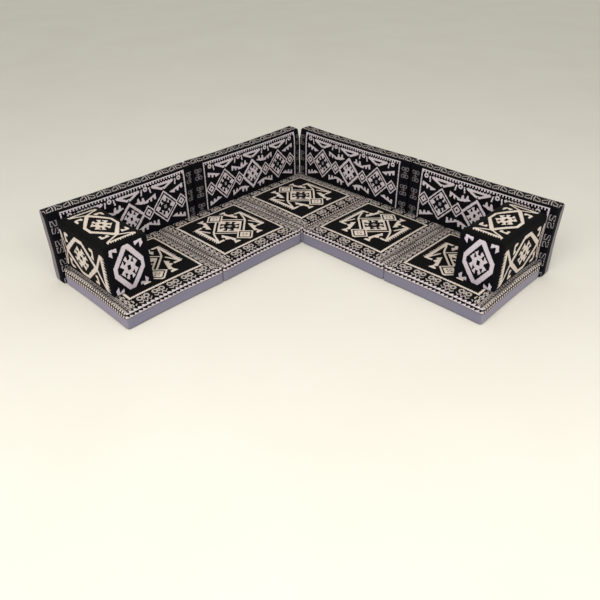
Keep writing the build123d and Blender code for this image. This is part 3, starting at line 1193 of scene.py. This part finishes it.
def patternedCloth():
    dyes = clothDyes
    material, tree = startMaterial("wovenKilimCloth")
    height, _, stitches, tone = clothParts(tree, dyes["weft"], dyes["warp"])
    thread = addNode(tree, "ShaderNodeAttribute", settings={"attribute_name": "thread"}, output=2)
    place = objectPlace(tree)
    broad = noiseOf(tree, place, 5.0, 3.0)
    fine = noiseOf(tree, place, 420.0)
    yarn = noiseOf(tree, place, 95.0, 3.0)

    # painted shade: each face's share turns the black and the cream towards their shaded copies
    black = mixColour(tree, tone, dyes["blackTop"], dyes["shadedBlack"])
    pale = mixColour(tree, tone, dyes["cream"], dyes["lilac"])
    worn = mixColour(tree, broad.spread(0.35, 0.75) * dyes["wear"], pale, dyes["worn"])
    mottled = mixColour(tree, yarn.spread(0.45, 0.80) * dyes["mottle"], worn, dyes["yarn"])
    woven = mixColour(tree, thread, black, mottled)
    dusted = mixColour(tree, fine.spread(0.62, 0.80) * dyes["lint"], woven, dyes["lintColour"])
    shaded = mixColour(tree, (1 - height) * dyes["hollowShade"], dusted, dyes["hollow"])
    relief = height + fine * 0.35 + stitches * stitching["height"]
    finishSurface(tree, {
        "Base Color": mixColour(tree, stitches * dyes["stitchShade"], shaded, dyes["stitch"]),
        "Roughness": fine.spread(0.3, 0.7, *dyes["roughness"]),
        "Normal": bumpOf(tree, 0.55, dyes["relief"], relief),
        "Sheen Weight": dyes["sheen"],
        "Sheen Roughness": 0.5,
        "Specular IOR Level": dyes["gloss"],
    })
    return material


canvas = {
    "band": {"ground": colour(121, 118, 135), "thread": 0.0016, "relief": 0.0005},
    "base": {"ground": colour(105, 102, 110), "thread": 0.0022, "relief": 0.0006},
    "pinker": (1.08, 1.01, 0.98),
    # painted light: a lighter copy of the ground for faces painted as lit
    "faded": (1.50, 1.40, 1.30),
    # painted shade: a darker copy of the ground for the hollows of the weave
    "darker": (0.72, 0.72, 0.76),
    # a darker grey for the foot of the sides
    "grime": colour(70, 66, 72),
    "stitch": colour(88, 84, 96),
    "roughness": (0.82, 0.94),
    "sheen": 0.12,
    "gloss": 0.25,
}


def plainCloth(name, settings):  # a share above 0 paints it lighter, as painted light, and -1 makes it black
    ground = settings["ground"]
    material, tree = startMaterial(name)
    height, v, stitches, tone = clothParts(tree, settings["thread"], settings["thread"])
    place = objectPlace(tree)
    broad = noiseOf(tree, place, 4.0, 4.0)
    fine = noiseOf(tree, place, 600.0)
    mixed = mixColour(tree, broad.spread(0.3, 0.7), ground, tinted(ground, *canvas["pinker"]))
    # painted light: faces with a share above 0 are painted lighter
    litCanvas = mixColour(tree, tone * 0.7, mixed, tinted(ground, *canvas["faded"]))
    base = mixColour(tree, tone < -0.5, litCanvas, clothDyes["blackTop"])
    # painted shade in the hollows of the weave
    hollowShaded = mixColour(tree, (1 - height) * 0.35, base, tinted(ground, *canvas["darker"]))
    # darker over the first 12 mm of the flat cloth's v, at the foot of the sides
    darkerAtFoot = mixColour(tree, v.spread(0.012, 0.0) * 0.35, hollowShaded, canvas["grime"])
    relief = height + fine * 0.4 + stitches * stitching["height"]
    finishSurface(tree, {
        "Base Color": mixColour(tree, stitches * 0.7, darkerAtFoot, canvas["stitch"]),
        "Roughness": fine.spread(0.3, 0.7, *canvas["roughness"]),
        "Normal": bumpOf(tree, 0.5, settings["relief"], relief),
        "Sheen Weight": canvas["sheen"],
        "Sheen Roughness": 0.5,
        "Specular IOR Level": canvas["gloss"],
    })
    return material


foamLook = {
    "fresh": colour(238, 228, 196),
    "aged": colour(226, 208, 160),
    "pore": colour(168, 150, 108),
    "cellScale": 380.0,
    "relief": 0.0008,
}


def foamMaterial():
    material, tree = startMaterial("openCellFoam")
    place = objectPlace(tree)
    cells = addNode(tree, "ShaderNodeTexVoronoi", {"Vector": place, "Scale": foamLook["cellScale"]})
    broad = noiseOf(tree, place, 6.0, 3.0)
    base = mixColour(tree, broad.spread(0.3, 0.7), foamLook["fresh"], foamLook["aged"])
    finishSurface(tree, {
        "Base Color": mixColour(tree, cells.spread(0.25, 0.0) * 0.5, base, foamLook["pore"]),
        "Roughness": 0.95,
        "Normal": bumpOf(tree, 0.6, foamLook["relief"], cells),
        "Specular IOR Level": 0.2,
    })
    return material


zipLook = {
    # painted shade: the tape's first colour for the hollows of its weave, the second for its threads
    "tape": (colour(30, 29, 33), colour(58, 56, 62)),
    # painted highlight: the coil's first colour for its hollows, the second for its lit crests
    "nylon": (colour(16, 16, 18), colour(92, 90, 94)),
    "teethHalf": 0.0021,
    "coil": 0.0024,
    "weave": 0.0012,
    "relief": 0.0006,
}


def zipMaterial(name, along, middle):  # woven tape, with coil teeth along its middle
    material, tree = startMaterial(name)
    run = addNode(tree, "ShaderNodeSeparateXYZ", {0: objectPlace(tree)}, output=along)
    height = run.other(2)
    teeth = (height - middle).size() < zipLook["teethHalf"]
    coil = (run / zipLook["coil"] * math.pi * 2).sine() * 0.5 + 0.5
    weave = (run / zipLook["weave"] * math.pi).sine().size()
    weave = weave * (height / zipLook["weave"] * math.pi).sine().size()
    # painted shade in the hollows of the tape's weave
    tape = mixColour(tree, weave * 0.5, *zipLook["tape"])
    # painted highlight on the crests of the coil, painted shade between them
    nylon = mixColour(tree, coil, *zipLook["nylon"])
    finishSurface(tree, {
        "Base Color": mixColour(tree, teeth, tape, nylon),
        "Roughness": 0.85 - teeth * 0.4,
        "Normal": bumpOf(tree, 0.8, zipLook["relief"], teeth * coil + (1 - teeth) * weave * 0.4),
        "Specular IOR Level": 0.35,
    })
    return material


nickelLook = {
    "plain": colour(150, 148, 150),
    "worn": colour(196, 190, 180),
    "roughness": (0.28, 0.45),
    "relief": 0.0002,
}


def sliderMaterial():
    material, tree = startMaterial("darkNickel")
    place = objectPlace(tree)
    scratch = noiseOf(tree, place, 900.0, 4.0)
    rubbed = noiseOf(tree, place, 130.0, 3.0)
    finishSurface(tree, {
        "Base Color": mixColour(tree, rubbed.spread(0.4, 0.7), nickelLook["plain"], nickelLook["worn"]),
        "Metallic": 1.0,
        "Roughness": rubbed.spread(0.3, 0.7, *nickelLook["roughness"]),
        "Normal": bumpOf(tree, 0.25, nickelLook["relief"], scratch),
    })
    return material


def wear(body, material):
    body.data.materials.clear()
    body.data.materials.append(material)


finishes = {
    "cover": patternedCloth(),
    "band": plainCloth("greyCanvas", canvas["band"]),
    "base": plainCloth("liningCloth", canvas["base"]),
    "core": foamMaterial(),
}
finishes["rear"] = finishes["band"]
for body, piece in made:
    wear(body, finishes[piece])

nickel = sliderMaterial()
armFoot = float(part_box("arm_right_base")[0][2])
zipFinishes = {}
for name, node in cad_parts.items():
    if name.endswith("_slider"):
        wear(node, nickel)
    elif name.endswith("_zip"):
        kind = name.split("_")[0]
        along = 1 if "left" in name else 0
        key = kind + ("Left" if along else "Right") + "Zip"
        if key not in zipFinishes:
            foot = armFoot if kind == "arm" else 0.0
            zipFinishes[key] = zipMaterial(key, along, foot + settingsOf[kind]["zipHeight"])
        wear(node, zipFinishes[key])
print("materials done")


# Floor, light and camera
studio = {
    "floorColour": colour(226, 222, 208),
    "floorShade": colour(216, 210, 194),
    "floorDrop": 0.0006,
    "skyColour": colour(236, 233, 224),
    "skyStrength": 0.62,
    "lampAim": (0, 0, 0.2),
    "lamps": {  # place, power and size
        "key": ((1.4, -4.6, 4.6), 230.0, 3.4),
        "fill": ((4.8, -1.0, 3.6), 120.0, 3.2),
    },
}


def makeFloor():
    form = bmesh.new()
    bmesh.ops.create_grid(form, x_segments=4, y_segments=4, size=30.0)
    bmesh.ops.translate(form, verts=form.verts, vec=(0, 0, -studio["floorDrop"]))
    floor = bodyOf(form, "floor")
    material, tree = startMaterial("paleFloor")
    broad = noiseOf(tree, objectPlace(tree), 1.2, 5.0)
    base = mixColour(tree, broad.spread(0.3, 0.7) * 0.25, studio["floorColour"], studio["floorShade"])
    finishSurface(tree, {"Base Color": base, "Roughness": 0.9, "Specular IOR Level": 0.2})
    wear(floor, material)
    floor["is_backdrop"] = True


def makeLamp(name, place, power, size):
    lamp = bpy.data.lights.new(name, "AREA")
    lamp.energy = power
    lamp.size = size
    body = bpy.data.objects.new(name, lamp)
    body.location = place
    aim = Vector(studio["lampAim"]) - Vector(place)
    body.rotation_euler = aim.to_track_quat("-Z", "Y").to_euler()
    bpy.context.scene.collection.objects.link(body)


def makeSky():  # lights evenly, and shows its own colour to the camera and in reflections
    world = bpy.data.worlds.new("studio")
    bpy.context.scene.world = world
    world.use_nodes = True
    tree = world.node_tree
    tree.nodes.clear()
    rays = addNode(tree, "ShaderNodeLightPath")
    seen = rays.other("Is Camera Ray") + rays.other("Is Glossy Ray") + rays.other("Is Transmission Ray")
    lit = addNode(tree, "ShaderNodeBackground", {
        "Color": (1, 1, 1, 1), "Strength": studio["skyStrength"],
    })
    shown = addNode(tree, "ShaderNodeBackground", {"Color": studio["skyColour"], "Strength": 1.0})
    both = addNode(tree, "ShaderNodeMixShader", {0: seen > 0.5, 1: lit, 2: shown})
    addNode(tree, "ShaderNodeOutputWorld", {"Surface": both})


cameraSettings = {
    "place": (2.2724, -2.3562, 2.0427),
    "azimuth": 0.7739,
    "elevation": 0.5993,
    "roll": -0.0069,
    "lens": 35.89,
}


def makeCamera():
    azimuth = cameraSettings["azimuth"]
    elevation = cameraSettings["elevation"]
    roll = cameraSettings["roll"]
    flat = math.cos(elevation)
    away = Vector((math.sin(azimuth) * flat, -math.cos(azimuth) * flat, math.sin(elevation)))
    level = (-away).cross(Vector((0, 0, 1))).normalized()
    upright = level.cross(-away)
    right = level * math.cos(roll) + upright * math.sin(roll)
    up = upright * math.cos(roll) - level * math.sin(roll)
    camera = bpy.data.cameras.new("camera")
    camera.lens = cameraSettings["lens"]
    camera.sensor_width = 36.0
    camera.clip_end = 100.0
    body = bpy.data.objects.new("camera", camera)
    turn = Matrix((right, up, away)).transposed().to_4x4()
    body.matrix_world = Matrix.Translation(cameraSettings["place"]) @ turn
    bpy.context.scene.collection.objects.link(body)
    bpy.context.scene.camera = body


makeFloor()
for name, (place, power, size) in studio["lamps"].items():
    makeLamp(name, place, power, size)
makeSky()
makeCamera()
bpy.context.scene.view_settings.view_transform = "Standard"
print("stage set")

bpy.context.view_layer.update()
triangles = sum(len(polygon.vertices) - 2 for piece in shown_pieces() for polygon in piece.data.polygons)
print("triangles:", triangles)
